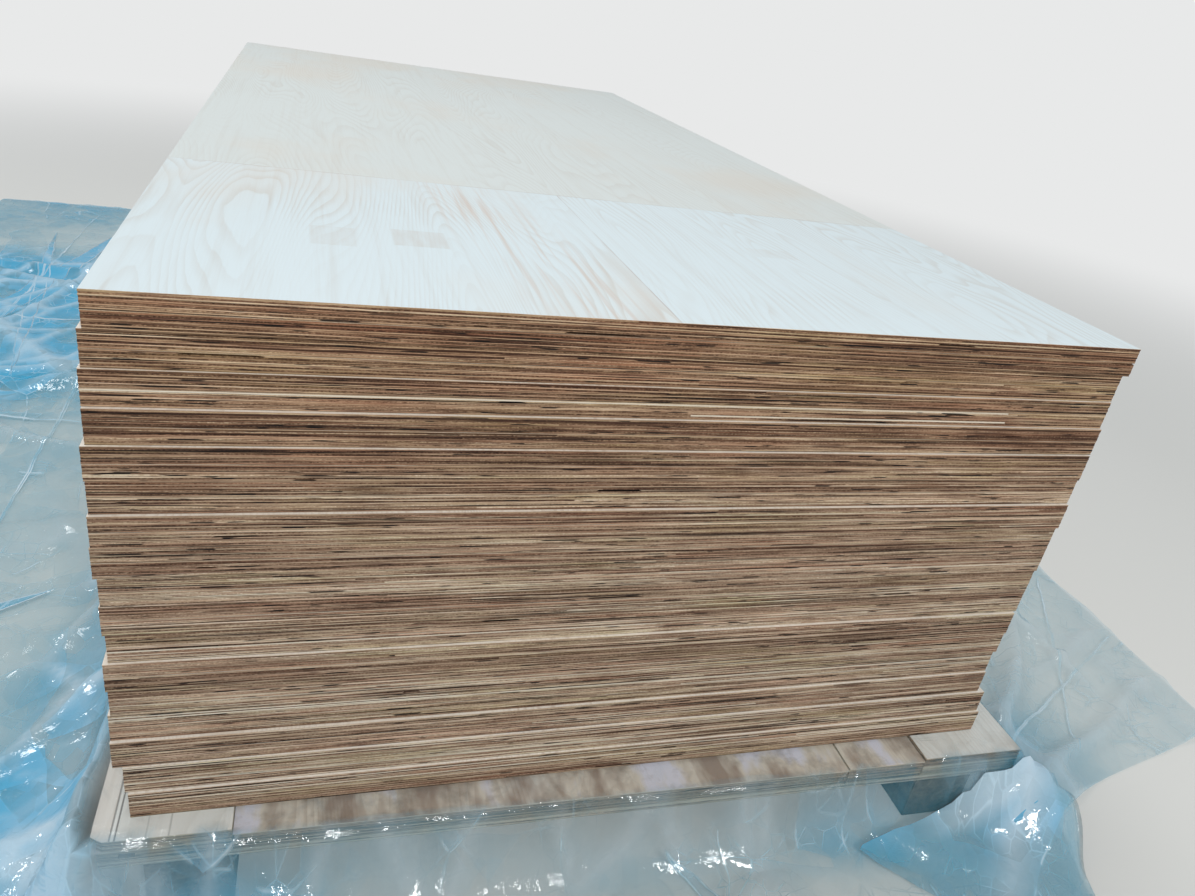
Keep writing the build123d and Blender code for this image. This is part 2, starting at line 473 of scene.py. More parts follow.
def panel_face_material():
    """The white-washed face of the side panels, rubbed grey in places; the left one is grooved."""
    material, t = new_material("pale_panel_face")
    place = t.place()
    x, y, _ = t.parts(place)
    veneer = t.use(face_veneer_figure, {
        "Across": x, "Along": y, "Seed": 71.0, "Figure": 0.35,
        "Ground": rgb(236, 236, 230), "Grain": rgb(198, 192, 180), "Cloud": rgb(224, 220, 212),
    })
    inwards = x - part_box("side_panel_left")[0][0]
    on_left = t.math("LESS_THAN", x, 0.0)
    waver = (t.noise(place, 3.0, 1.0) - 0.5) * 0.002
    groove = 0.0
    for where, strength in groove_places:
        away = t.size_of(inwards + waver - where)
        groove = t.largest(groove, t.span(away, 0.0004, 0.0015, strength, 0.0))
    groove = groove * on_left
    outer_strip = on_left * t.math("LESS_THAN", inwards, groove_places[0][0])
    rubbed = t.span(t.noise(place, 11.0, 5.0, 0.6), 0.52, 0.70, 0.0, 0.42)
    colour = t.mix(outer_strip * 0.35, veneer["Color"], rgb(224, 208, 194))
    colour = t.mix(rubbed, colour, rgb(168, 158, 144))
    finish_material(
        t, veneer["Height"] - groove * 3.0, 0.5, 0.0006,
        Base_Color=t.mix(groove, colour, rgb(70, 62, 56)), Roughness=0.6,
    )
    return material


def board_face_material():
    """The brown, much used face of the inner deck boards, with grey blotches, and lilac blotches that are
    painted sheen of the film lying on it.
    """
    material, t = new_material("brown_board_face")
    place = t.place()
    x, y, _ = t.parts(place)
    veneer = t.use(face_veneer_figure, {
        "Across": x, "Along": y, "Seed": 33.0, "Figure": 0.40,
        "Ground": rgb(220, 211, 196), "Grain": rgb(176, 156, 136), "Cloud": rgb(206, 202, 202),
    })
    bands = t.noise(t.combine(x * 9.0, y * 4.0), 1.0, 4.0, 0.6)
    colour = t.mix(t.span(bands, 0.48, 0.57, 0.0, 0.80), veneer["Color"], rgb(150, 127, 110))
    # Painted sheen: the lilac-white blotches, like part of the face's paleness, stand in for the veil of
    # the film lying on the board
    colour = t.mix(t.span(bands, 0.40, 0.47, 0.90, 0.0), colour, rgb(224, 223, 234))
    scuff = t.span(t.noise(place, 24.0, 5.0, 0.65), 0.50, 0.68, 0.0, 0.5)
    colour = t.mix(scuff, colour, rgb(138, 126, 113))
    finish_material(t, veneer["Height"], 0.4, 0.0005, Base_Color=colour, Roughness=0.65)
    return material


def bearer_material():
    """Rough-sawn softwood: saw marks across, long grain, darker in patches towards the floor."""
    material, t = new_material("rough_sawn_bearer")
    place = t.place()
    z = t.parts(place)[2]
    grain = t.noise(t.scaled(place, (60.0, 2.2, 60.0)), 1.0, 4.0, 0.6, 0.4)
    saw_marks = t.noise(t.scaled(place, (6.0, 240.0, 6.0)))
    colour = t.mix(t.span(grain, 0.32, 0.68), rgb(128, 112, 94), rgb(78, 66, 56))
    # Darker in patches towards the floor
    low_darkening = t.span(z, 0.0, 0.05, 1.0, 0.15) * t.span(t.noise(place, 18.0, 4.0), 0.35, 0.65, 0.3, 0.9)
    colour = t.mix(low_darkening, colour, rgb(62, 60, 58))
    finish_material(t, grain + saw_marks * 0.7, 0.6, 0.0012, Base_Color=colour, Roughness=0.85)
    return material


# Pleats and creases in the flat film: from, to, half width, and how blue the doubled film between their
# edges is; the narrow ones are the straight creases left from when the film lay folded on its roll
film_folds = (
    ((-1.140, 1.900), (-1.560, -0.420), 0.034, 1.00),
    ((-1.400, 1.600), (-1.200, 0.300), 0.016, 0.55),
    ((-0.900, -0.600), (-1.640, -1.020), 0.026, 0.50),
    ((-0.760, -1.360), (-0.900, -1.620), 0.030, 0.60),
    ((-1.020, 1.700), (-1.060, -1.500), 0.0025, 0.20),
    ((-1.320, 1.900), (-1.340, -1.560), 0.0020, 0.20),
    ((-1.600, 0.660), (-0.800, 0.760), 0.0020, 0.15),
    ((-1.640, 0.150), (-0.820, 0.020), 0.0020, 0.15),
    ((-0.450, -1.310), (-0.380, -1.600), 0.016, 0.30),
    ((0.060, -1.330), (0.180, -1.600), 0.010, 0.25),
    ((0.740, -1.200), (1.310, -0.860), 0.0012, 0.0),
    ((0.730, -1.150), (1.100, -0.440), 0.0012, 0.0),
    ((0.960, -1.180), (1.290, -0.640), 0.0010, 0.0),
    ((0.820, 0.400), (1.320, 0.560), 0.026, 0.55),
    ((0.060, 1.380), (-0.120, 2.000), 0.026, 0.55),
    ((-0.620, 1.380), (-0.760, 2.000), 0.020, 0.45),
)
# Facets of the crumpled film: how many to a metre, their stretch, the width of their creases, and how much
# they show
film_facets = (
    (5.0, (1.0, 0.50, 1.0), 0.012, 0.70),
    (14.0, (0.6, 1.0, 1.0), 0.026, 0.50),
    (38.0, (1.0, 0.7, 1.0), 0.050, 0.35),
)


def fold_group():
    """One pleat of the film: its doubled strip, widest halfway, and the creases at its edges."""
    group, t, given = new_group(
        "film_fold",
        [
            ("Flat", "vector"), ("Start", "vector"), ("Direction", "vector"), ("Across", "vector"),
            ("Length", "value", 1.0), ("Half width", "value", 0.02), ("Waver", "value", 0.0),
        ],
        [("Doubled", "value"), ("Crease", "value")],
    )
    offset = t.wire("ShaderNodeVectorMath", {0: given["Flat"], 1: given["Start"]}, operation="SUBTRACT")

    def along_axis(axis):
        return t.wire("ShaderNodeVectorMath", {0: offset, 1: given[axis]}, "Value", operation="DOT_PRODUCT")

    centred = along_axis("Direction") / given["Length"] * 2.0 - 1.0
    bulge = t.held(1.0 - centred * centred)
    past_edge = t.size_of(along_axis("Across") + given["Waver"]) - given["Half width"] * bulge
    present = t.span(bulge, 0.0, 0.12)
    t.add("NodeGroupOutput", {
        "Doubled": present * t.span(past_edge, -0.0010, 0.0010, 1.0, 0.0),
        "Crease": present * t.span(t.size_of(past_edge), 0.0006, 0.0026, 1.0, 0.0),
    })
    return group


def film_material():
    """Clear blue-tinted packing film: white along its creases, partly as its own whitening and partly as
    painted highlight, bluer where it is doubled, glossy all over.

    The mesh is painted with how milky, how blue and how closely laid the film is.
    """
    material, t = new_material("clear_packing_film")
    milky, blue, laid, _ = t.painted("film_haze")
    loose = 1.0 - laid * 0.75
    flat = t.wire("ShaderNodeUVMap", uv_map="film_flat")
    bend = t.noise(flat, 3.5, output="Color")
    bent = t.wire("ShaderNodeVectorMath", {0: bend, 1: (0.09,) * 3, 2: flat}, operation="MULTIPLY_ADD")
    crumpled = t.noise(flat, 5.5, 3.0, 0.6)
    height, creases_shown, facet_tone = 0.0, 0.0, 0.0
    for scale, stretch, width, amount in film_facets:
        inputs = {"Vector": t.scaled(bent, stretch), "Scale": scale}
        facet = t.add("ShaderNodeTexVoronoi", inputs, feature="F1")
        border = t.wire("ShaderNodeTexVoronoi", inputs, "Distance", feature="DISTANCE_TO_EDGE")
        height = height + Wire(t, facet.outputs["Distance"]) * (8.0 / scale)
        shade = t.parts(Wire(t, facet.outputs["Color"]), "ShaderNodeSeparateColor")[0]
        facet_tone = facet_tone + (shade - 0.5) * amount
        creases_shown = t.largest(creases_shown, t.span(border, 0.0, width, amount, 0.0, smooth=True))
    # White along the creases: partly the film's own whitening, partly painted highlight; it also thickens
    # the film there so that its gloss shows
    broken = t.span(t.noise(flat, 17.0), 0.40, 0.54, smooth=True)
    white = creases_shown * (broken * t.span(crumpled, 0.40, 0.58, smooth=True))

    fold = fold_group()
    waver = (t.noise(flat, 9.0, 3.0) - 0.5) * 0.020
    doubled, fold_crease = 0.0, 0.0
    for start, end, half_width, strength in film_folds:
        run = Vector(end) - Vector(start)
        ahead = run.normalized()
        mark = t.use(fold, {
            "Flat": flat, "Start": (*start, 0.0), "Direction": (*ahead, 0.0),
            "Across": (ahead.y, -ahead.x, 0.0), "Length": run.length, "Half width": half_width,
            "Waver": waver,
        })
        doubled = t.largest(doubled, mark["Doubled"] * strength)
        fold_crease = t.largest(fold_crease, mark["Crease"])
    blue = (blue + doubled * 0.75) * (facet_tone * 0.90 + 1.0)
    white = t.largest(white, fold_crease * t.span(crumpled, 0.36, 0.60, 0.25, 1.0))

    wrinkle = t.noise(t.place(), 46.0, 3.0, 0.6, 0.8)
    edge_on = t.wire("ShaderNodeLayerWeight", {"Blend": 0.35}, "Facing")
    tint = t.mix(t.math("MINIMUM", blue, 1.0), rgb(30, 166, 188), rgb(0, 170, 216))
    alpha = blue * 0.78 + milky * 0.30 + edge_on ** 3.0 * 0.30 + 0.09 + white * 0.55
    finish_material(
        t, height * loose + wrinkle * 0.28 + doubled * 0.4, 1.0, 0.008,
        Base_Color=t.mix(t.largest(milky, white), tint, rgb(218, 236, 246)), Roughness=0.08,
        Alpha=t.held(alpha * loose), IOR=2.4,
    )
    return material


# Laminated sheets and boards

# Each ply is pieced together from lengths of veneer, and some leave a gap of this length and depth
veneer_lengths = (0.25, 1.6)
gap_lengths = (0.008, 0.075)
gap_depths = (0.0015, 0.006)
# How much lighter a ply is than the board where its end grain or its long grain shows
end_grain_tone, long_grain_tone = -0.13, 0.11
# How much the boards differ in tone, and how far their top and bottom edges are worn off
board_tone_spread = 0.07
corner_wear = 0.00022
# An edge belongs to the front or the back when its outward direction has more than this share of y
facing_share = 0.7


def top_outline(node):
    """The corners of a CAD board from above, anticlockwise from the front left, and its z from and to."""
    points = [vertex.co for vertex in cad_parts[node].data.vertices]
    low, high = min(p.z for p in points), max(p.z for p in points)
    top = {(round(p.x, 5), round(p.y, 5)) for p in points if p.z > high - 1e-5}
    centre_x = sum(p[0] for p in top) / len(top)
    centre_y = sum(p[1] for p in top) / len(top)
    corners = sorted(top, key=lambda p: math.atan2(p[1] - centre_y, p[0] - centre_x))
    return [Vector(corner) for corner in corners], low, high


def edge_stations(corners, look):
    """Stations round a board: their places, outward directions, distances along the edge and facings."""
    places, outwards, distances, facings = [], [], [], []
    travelled = 0.0
    for side, start in enumerate(corners):
        run = corners[(side + 1) % len(corners)] - start
        direction = run.normalized()
        outward = Vector((direction.y, -direction.x))
        before = (start - corners[side - 1]).normalized()
        at_corner = outward + Vector((before.y, -before.x))
        pitch = look["front_pitch"] if outward.y < -facing_share else look["side_pitch"]
        count = max(1, round(run.length / pitch))
        for step in range(count):
            places.append(start + run * (step / count))
            outwards.append(at_corner if step == 0 else outward)
            distances.append(travelled + run.length * step / count)
            facings.append(abs(outward.y) > facing_share)
        travelled += run.length
    return np.array(places), np.array(outwards), np.array(distances), np.array(facings), travelled


def lay_up(low, high, plies, skin):
    """The heights of the ply boundaries of a board with two thin face veneers and even plies between."""
    inner = (high - low - 2 * skin) / (plies - 2)
    return np.array([low] + [low + skin + inner * row for row in range(plies - 1)] + [high])


def ply_tones(rng, ply, plies, distances, facings, length, look):
    """Tone, redness, end grain and seed of one ply at each station, pieced from lengths of veneer."""
    if ply in (0, plies - 1):
        return np.tile((look["face_tone"], 0.15, 0.2, rng.random()), (len(distances), 1))
    ends, values = [], []
    end = 0.0
    while end < length:
        end += rng.uniform(*veneer_lengths)
        ends.append(end)
        values.append((rng.gauss(0.0, look["tone_spread"]), rng.random() ** 1.5, rng.random()))
    pieces = np.array(values)[np.minimum(np.searchsorted(ends, distances), len(ends) - 1)]
    grain_across = min(ply, plies - 1 - ply) % 2 == 1
    end_grain = np.where(facings != grain_across, 1.0, 0.15)
    by_grain = np.where(end_grain > 0.5, end_grain_tone, long_grain_tone)
    tone = np.clip(look["tone"] + pieces[:, 0] + by_grain, 0.05, 0.85)
    if look["pale_sides"]:
        tone = np.where(facings, tone, 0.95)
    return np.column_stack((tone, pieces[:, 1], end_grain, pieces[:, 2]))


def ply_boundaries(rng, seed, look, heights, distances, length):
    """The height of each ply boundary at each station: it waves, and swells and thins in places."""
    plies = look["plies"]
    boundary = np.tile(heights[:, None], (1, len(distances)))
    for row in range(1, plies):
        slow = soft_noise(distances * 4.0, row * 0.45, seed * 0.1, seed)
        quick = soft_noise(distances * 17.0, row * 0.8, seed * 0.1, seed + 5)
        inside = min(row, plies - row) / (plies / 2)
        boundary[row] += look["wave"] * min(1.0, 0.3 + inside) * (slow * 0.7 + quick * 0.35)
    for _ in range(look["swells"]):
        middle, reach, rise = rng.uniform(0, length), rng.uniform(0.010, 0.030), rng.gauss(0.0, 0.0008)
        for row in range(1, plies):
            swell = np.exp(-(((distances - middle) / reach) ** 2))
            boundary[row] += rise * swell * min(row, plies - row) / (plies / 2)
    return boundary


def ply_depths(rng, seed, look, facings, distances, length, gaps):
    """How far each ply is set in at each station, and its tones there."""
    plies = look["plies"]
    set_in = np.zeros((plies, len(distances)))
    tones = np.zeros((plies, len(distances), 4))
    for ply in range(plies):
        skin = ply in (0, plies - 1)
        set_in[ply] = (0.0 if skin else rng.uniform(0.0, look["roughness"]))
        set_in[ply] += 0.00010 + 0.00010 * soft_noise(distances * 60, ply * 3.1, seed * 0.7, seed)
        tones[ply] = ply_tones(rng, ply, plies, distances, facings, length, look)
        if skin:
            continue
        for _ in range(rng.choice(look["gap_counts"])):
            start = rng.uniform(0, length)
            end = start + rng.uniform(*gap_lengths)
            inside = (distances >= start) & (distances <= end)
            set_in[ply][inside] = rng.uniform(*gap_depths)
    for ply, start, end, depth in gaps:
        inside = (distances >= start) & (distances <= end)
        set_in[ply][inside] = depth
    return np.maximum(set_in, 0.0), tones


def edge_walls(plies, distances, length, tones):
    """The faces of a board's edge, with the lay coordinates and the tones of their corners.

    They go up in rows: each ply's own edge, then the step from it to the next ply.
    """
    count = len(distances)
    here = np.arange(count)
    after = (here + 1) % count
    next_distance = np.where(after == 0, length, distances[after])
    faces, lays, painted = [], [], []
    for row in range(2 * plies - 1):
        upper = row // 2 + 1
        lower = row // 2 if row % 2 == 0 else upper
        below, above = row * count, (row + 1) * count
        faces.append(np.column_stack((here + below, after + below, after + above, here + above)))
        ends = ((distances, lower), (next_distance, lower), (next_distance, upper), (distances, upper))
        corners = [np.column_stack((along, np.full(count, ply))) for along, ply in ends]
        lays.append(np.stack(corners, axis=1))
        painted.append(np.repeat(tones[row // 2][:, None, :], 4, axis=1))
    lays, painted = np.concatenate(lays), np.concatenate(painted)
    return np.concatenate(faces), lays.reshape(-1, 2), painted.reshape(-1, 4)


def make_laminate(name, node, seed, look, materials, gaps=(), face_painted_light=1.0):
    """A board with every ply of its edge set in or out a little and waving, and its core gaps cut in.

    Each gap is (ply, from, to, depth), with its place along the edge from the front left corner.
    """
    rng = random.Random(seed)
    corners, low, high = top_outline(node)
    places, outwards, distances, facings, length = edge_stations(corners, look)
    plies, count = look["plies"], len(places)
    heights = lay_up(low, high, plies, look["skin"])
    mean_tone = rng.gauss(0.0, board_tone_spread)
    boundary = ply_boundaries(rng, seed, look, heights, distances, length)
    set_in, tones = ply_depths(rng, seed, look, facings, distances, length, gaps)
    tones[1:-1, :, 0] += mean_tone
    wear = corner_wear + corner_wear * soft_noise(distances * 30, 2.0, seed * 0.3, seed + 3)
    wear = np.maximum(0.0, wear)

    points = np.zeros((2 * plies, count, 3))
    for ply in range(plies):
        for top in (0, 1):
            depth = set_in[ply] + (wear if (ply + top) in (0, plies) else 0.0)
            points[2 * ply + top, :, :2] = places - outwards * depth[:, None]
            points[2 * ply + top, :, 2] = boundary[ply + top]

    walls, wall_lay, wall_tone = edge_walls(plies, distances, length, tones)

    origin = places[0]
    right = np.array((places[1] - places[0]) / np.linalg.norm(places[1] - places[0]))
    ahead = np.array((-right[1], right[0]))
    flat = points.reshape(-1, 3)
    face_seed = rng.random()
    cap_faces = [list(range(count))[::-1], list(range((2 * plies - 1) * count, 2 * plies * count))]
    from_corner = [flat[index, :2] - origin for cap in cap_faces for index in cap]
    cap_lay = [(offset @ right, offset @ ahead) for offset in from_corner]
    # The faces' second value picks their painted light: 0 for the cool-lit top face, 1 for the brightened
    # ledges below it
    cap_tone = [(0.95, face_painted_light, 0.2, face_seed)] * (2 * count)

    mesh = bpy.data.meshes.new(name)
    mesh.from_pydata(flat.tolist(), [], walls.tolist() + cap_faces)
    piece = new_object(name, mesh)
    for material in materials:
        mesh.materials.append(material)
    for index in (0, 1):
        mesh.polygons[len(walls) + index].material_index = 1
    layer = mesh.uv_layers.new(name="edge_lay")
    layer.data.foreach_set("uv", np.concatenate((wall_lay, np.array(cap_lay))).ravel())
    colours = mesh.color_attributes.new("ply_tone", "FLOAT_COLOR", "CORNER")
    colours.data.foreach_set("color", np.concatenate((wall_tone, np.array(cap_tone))).ravel())
    mesh.update()
    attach(piece, "root")
    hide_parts(node)


# What each kind of board looks like at its edge: how many plies, the thickness of the face veneers, how far
# apart the stations are, the plies' tones, how far they wave, how far they are set in, and their flaws
sheet_look = {
    "plies": 12, "skin": 0.00055, "front_pitch": 0.008, "side_pitch": 0.030,
    "tone": 0.53, "tone_spread": 0.16, "face_tone": 0.70, "wave": 0.00060, "roughness": 0.00040,
    "gap_counts": (0, 0, 1, 1, 2), "swells": 8, "pale_sides": False,
}
panel_look = {
    "plies": 9, "skin": 0.0009, "front_pitch": 0.006, "side_pitch": 0.020,
    "tone": 0.62, "tone_spread": 0.08, "face_tone": 0.95, "wave": 0.0006, "roughness": 0.0008,
    "gap_counts": (0, 1, 1, 2), "swells": 2, "pale_sides": True,
}
board_look = dict(panel_look, plies=13, tone=0.52, roughness=0.0010, gap_counts=(1, 2, 3))
underlay_look = dict(panel_look, plies=5, tone=0.60, pale_sides=False)
# The slot in the front edge of the left lower side board: ply, from, to, and depth
side_board_slot = [(ply, 0.035, 0.047, 0.055) for ply in (3, 4, 5)]


def make_sheets():
    """The plywood sheets; the faces of all but the top one are painted a little warmer and brighter, as
    painted light on the ledges in the stack's shade.
    """
    materials = (edge_material(), face_material())
    for number in range(34):
        node = f"sheet_{number + 1:02d}"
        make_laminate(
            f"{node}_plies", node, 4000 + number, sheet_look, materials,
            face_painted_light=0.0 if number == 0 else 1.0,
        )


def make_deck():
    """The pallet's boards: pale panels at the sides, their lower boards, and the brown boards between."""
    pale_edge = deck_edge_material("pale_panel_edge", rgb(186, 184, 172), 0.55)
    board_edge = deck_edge_material("deck_board_edge", rgb(178, 178, 168), 0.62)
    panel_face, board_face = panel_face_material(), board_face_material()
    for number, (node, look, materials, slot) in enumerate((
        ("side_panel_left", panel_look, (pale_edge, panel_face), "pale_panel"),
        ("side_panel_right", panel_look, (pale_edge, panel_face), "pale_panel"),
        ("side_board_left", panel_look, (board_edge, board_face), "deck_board"),
        ("side_board_right", panel_look, (board_edge, board_face), "deck_board"),
        ("deck_middle", board_look, (board_edge, board_face), "deck_board"),
        ("deck_filler", board_look, (board_edge, board_face), "deck_board"),
        ("deck_underlay", underlay_look, (board_edge, board_face), "deck_board"),
    )):
        gaps = side_board_slot if node == "side_board_left" else ()
        make_laminate(f"{node}_plies", node, 900 + number, look, materials, gaps)
    rough = bearer_material()
    for node in ("bearer_left", "bearer_centre", "bearer_right"):
        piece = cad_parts[node]
        piece.data.materials.clear()
        piece.data.materials.append(rough)


# Packing film

# How far apart the points of the flat film are, how much larger it grows while it falls, for how many
# frames it falls, and how far it is kept from what carries it
film_step = 0.024
film_growth = 0.03
film_frames = 30
film_clearance = 0.0004
# The cloth comes to rest this far above the floor and the deck, and is let down onto them afterwards
cloth_gap_floor, cloth_gap_deck = 0.0040, 0.0012
deck_height = 0.125
# The film is held still under the stack, but for a margin along its sides
held_margin = 0.030
# How the film behaves as cloth: light and slack, held under the stack and a little larger than its blank
film_cloth = {
    "quality": 6, "mass": 0.15, "tension_stiffness": 30, "compression_stiffness": 30, "shear_stiffness": 15,
    "bending_model": "ANGULAR", "bending_stiffness": 6, "shrink_min": -film_growth, "tension_damping": 15,
    "compression_damping": 15, "bending_damping": 2, "air_damping": 2, "vertex_group_mass": "held",
}
film_contact = {
    "use_collision": True, "collision_quality": 3, "distance_min": 0.003, "use_self_collision": False,
}
# The blocks it falls on: their bevel, grip and outer skin, and how far the deck and the floor are lowered
# for that skin
block_bevel, block_grip, block_skin = 0.004, 20, 0.003
deck_lowered, floor_lowered = 0.0025, 0.0015
# Where the film's flat cut edges lie before it drops over the pallet's edges
film_cut_left, film_cut_right, film_cut_front, film_cut_back = -1.680, 1.325, -1.585, 1.995
# How uneven these cuts are, and how much longer the film's longest strip is than they say
cut_unevenness, longest_strip_extra = 0.010, 0.03
# The slit cut into its front right corner: its inner end, how fast its back edge runs back towards the
# right, and how fast its front edge runs out to the right towards the front
slit_tip = (0.790, -1.272)
slit_back_slope = 0.27
slit_front_slope = 0.965
# How much shorter (+) or longer (-) the film is at its front, at places across it
front_trim = ((0.25, 0.0), (0.50, -0.022), (0.79, 0.094))
# The corner in front of the slit is folded back over the rest. The fold runs from the slit this way in the
# flat film, and this way where the film lies
flat_fold_direction = (-0.312, -0.950)
fold_direction = (-0.193, -0.981)
# Where the slit's inner end lies, beside the deck's corner
slit_place = (0.735, -1.284)
# How far round the slit's end the film is drawn along with it, and how far from the fold it follows it
slit_reach, fold_reach = 0.10, 0.16
# How far the soft fold bulges out to the right, how far from the slit, and over which length
fold_bulge, fold_bulge_place, fold_bulge_reach = 0.022, 0.07, 0.05
# Points this near to the fold are put right on it
fold_snap = 0.009
# How far the flap lies above the film under it
flap_gap = 0.005
# Along the flap's cut edge, from the slit: where its rolled hem starts and ends, and over which lengths it
# fades in and out; then how far its middle is from the edge, its half width and its thickness
hem_span, hem_fades = (0.04, 0.28), (0.04, 0.08)
hem_middle, hem_half_width, hem_thickness = 0.012, 0.014, 0.016
# How far in front of the deck the film has fallen to about a third of its height
front_fall_reach = 0.026
# How far the creases and the standing folds wander, and how much of them is left where the film lies on
# the deck
crease_bend, ridge_bend = 0.06, 0.045
deck_calm = 0.14
# Creases pressed into the film: size of the facets, their stretch, direction, height and width, and a seed
film_creases = (
    (0.36, 0.55, 0.5, 0.0130, 0.26, 41),
    (0.15, 0.65, -0.4, 0.0060, 0.32, 43),
    (0.062, 0.80, 1.1, 0.0024, 0.45, 47),
)
# Folds that stand up from the floor: from, to, height and half width
film_ridges = (
    ((-0.700, -1.180), (-0.735, -1.560), 0.016, 0.010),
    ((-0.520, -1.300), (-0.420, -1.640), 0.011, 0.011),
    ((-0.020, -1.300), (0.060, -1.640), 0.009, 0.012),
    ((0.730, -1.235), (1.300, -1.010), 0.030, 0.018),
    ((0.705, -1.200), (1.180, -0.640), 0.046, 0.022),
    ((0.700, -1.140), (0.960, -0.420), 0.034, 0.020),
    ((0.820, -1.020), (1.300, -0.860), 0.014, 0.014),
    ((0.860, -0.600), (1.300, -0.300), 0.016, 0.016),
    ((1.060, -1.140), (1.020, -0.560), 0.016, 0.016),
    ((-0.860, -0.120), (-1.330, 0.160), 0.014, 0.013),
    ((-0.860, 0.420), (-1.560, 0.260), 0.012, 0.012),
    ((-0.800, 0.860), (-1.560, 1.160), 0.014, 0.014),
    ((-1.000, 1.780), (-1.500, -0.300), 0.013, 0.016),
    ((0.300, 1.340), (0.520, 1.960), 0.013, 0.014),
    ((0.740, 0.340), (1.260, 0.520), 0.014, 0.014),
)


def film_blank():
    """The flat film above the pallet; its grid follows the slit in its front right corner."""
    columns = round((film_cut_right - film_cut_left) / film_step) + 1
    rows = round((film_cut_back - film_cut_front) / film_step) + 1
    xs = np.linspace(film_cut_left, film_cut_right, columns)
    ys = np.linspace(film_cut_front, film_cut_back, rows)
    tip_column = np.argmin(np.abs(xs - slit_tip[0]))
    tip_row = np.argmin(np.abs(ys - slit_tip[1]))
    x, y = np.meshgrid(xs, ys)
    in_front = np.clip(ys[tip_row] - y, 0, None)
    at_right = np.clip(x - xs[tip_column], 0, None)
    near_back_edge = unit(1 - (y - ys[tip_row]) / 0.8) * (y >= ys[tip_row])
    near_front_edge = unit(1 - (xs[tip_column] - x) / 0.6)
    uneven_x = cut_unevenness * soft_noise(y * 2.3, 0.0, 4.0, 9) * (x / film_cut_left) ** 8
    uneven_y = cut_unevenness * soft_noise(x * 2.3, 3.0, 4.0, 9) * (y / film_cut_back) ** 8
    flat_x = x + slit_front_slope * in_front * near_front_edge + uneven_x
    flat_y = y + slit_back_slope * at_right * near_back_edge + uneven_y
    flat_y += np.interp(x, *zip(*front_trim)) * in_front / (ys[tip_row] - film_cut_front)
    rest_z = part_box("side_panel_left")[1][2] + cloth_gap_deck
    flat_z = rest_z + 0.003 + 0.005 * soft_noise(x * 7, y * 7, 0.3, 8)
    row, column = np.meshgrid(np.arange(rows), np.arange(columns), indexing="ij")
    kept = (row >= tip_row) | (column <= tip_column)
    index = -np.ones(x.shape, int)
    index[kept] = np.arange(kept.sum())
    points = np.column_stack((flat_x[kept], flat_y[kept], flat_z[kept]))
    quads = np.stack((index[:-1, :-1], index[:-1, 1:], index[1:, 1:], index[1:, :-1]), axis=-1)
    quads = quads.reshape(-1, 4)
    quads = quads[(quads >= 0).all(axis=1)]
    return points, quads, rest_z


def inside_box(x, y, box, margin):
    """Whether each point lies over a box that is grown by a margin."""
    low, high = box
    across = (x > low[0] - margin) & (x < high[0] + margin)
    return across & (y > low[1] - margin) & (y < high[1] + margin)


def solid_block(name, low, high):
    """A plain bevelled block that the film falls on; it is taken away again once the film lies still."""
    mesh = bpy.data.meshes.new(name)
    shape = bmesh.new()
    bmesh.ops.create_cube(shape, size=1)
    for vertex in shape.verts:
        vertex.co = Vector([low[axis] if vertex.co[axis] < 0 else high[axis] for axis in range(3)])
    bmesh.ops.bevel(shape, geom=shape.edges[:], offset=block_bevel, segments=1, affect="EDGES")
    shape.to_mesh(mesh)
    shape.free()
    block = new_object(name, mesh)
    block.modifiers.new("solid", "COLLISION")
    block.collision.thickness_outer = block_skin
    block.collision.cloth_friction = block_grip
    return block


def settle_film(points, quads, rest_z):
    """Drop the flat film over the pallet as cloth, held under the stack; returns where its points lie."""
    scene = bpy.context.scene
    mesh = bpy.data.meshes.new("film_blank")
    held = inside_box(points[:, 0], points[:, 1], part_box("sheet_34"), -held_margin)
    points = points.copy()
    points[held, 2] = rest_z
    mesh.from_pydata(points.tolist(), [], quads.tolist())
    blank = new_object("film_blank", mesh)
    (left, front, _), (_, _, deck_top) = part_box("deck_underlay")[0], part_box("side_panel_left")[1]
    blocks = [
        solid_block("fall_deck", (left, front, 0.0), (-left, -front, deck_top - deck_lowered)),
        solid_block("fall_floor", (-3, -3, -0.2), (3, 3, -floor_lowered)),
    ]
    group = blank.vertex_groups.new(name="held")
    group.add(np.flatnonzero(held).tolist(), 1.0, "REPLACE")
    cloth = blank.modifiers.new("fall", "CLOTH")
    for values, settings in ((film_cloth, cloth.settings), (film_contact, cloth.collision_settings)):
        for name, value in values.items():
            setattr(settings, name, value)
    start = scene.frame_current
    cloth.point_cache.frame_end = film_frames
    for number in range(1, film_frames + 1):
        scene.frame_set(number)
    settled = bpy.data.meshes.new_from_object(blank.evaluated_get(bpy.context.evaluated_depsgraph_get()))
    result = mesh_points(settled)
    for thing in blocks + [blank]:
        bpy.data.objects.remove(thing)
    bpy.data.meshes.remove(settled)
    scene.frame_set(start)
    return result


def refine(points, quads):
    """The same surface as a mesh with each square split in four and its points smoothed."""
    mesh = bpy.data.meshes.new("film_refine")
    mesh.from_pydata(points.tolist(), [], quads.tolist())
    piece = new_object("film_refine", mesh)
    subdivision = piece.modifiers.new("refine", "SUBSURF")
    subdivision.levels = 1
    refined = bpy.data.meshes.new_from_object(piece.evaluated_get(bpy.context.evaluated_depsgraph_get()))
    bpy.data.objects.remove(piece)
    return refined


def mesh_points(mesh, field="co"):
    """The places, or the normals, of a mesh's vertices."""
    values = np.zeros(len(mesh.vertices) * 3)
    mesh.vertices.foreach_get(field, values)
    return values.reshape(-1, 3)


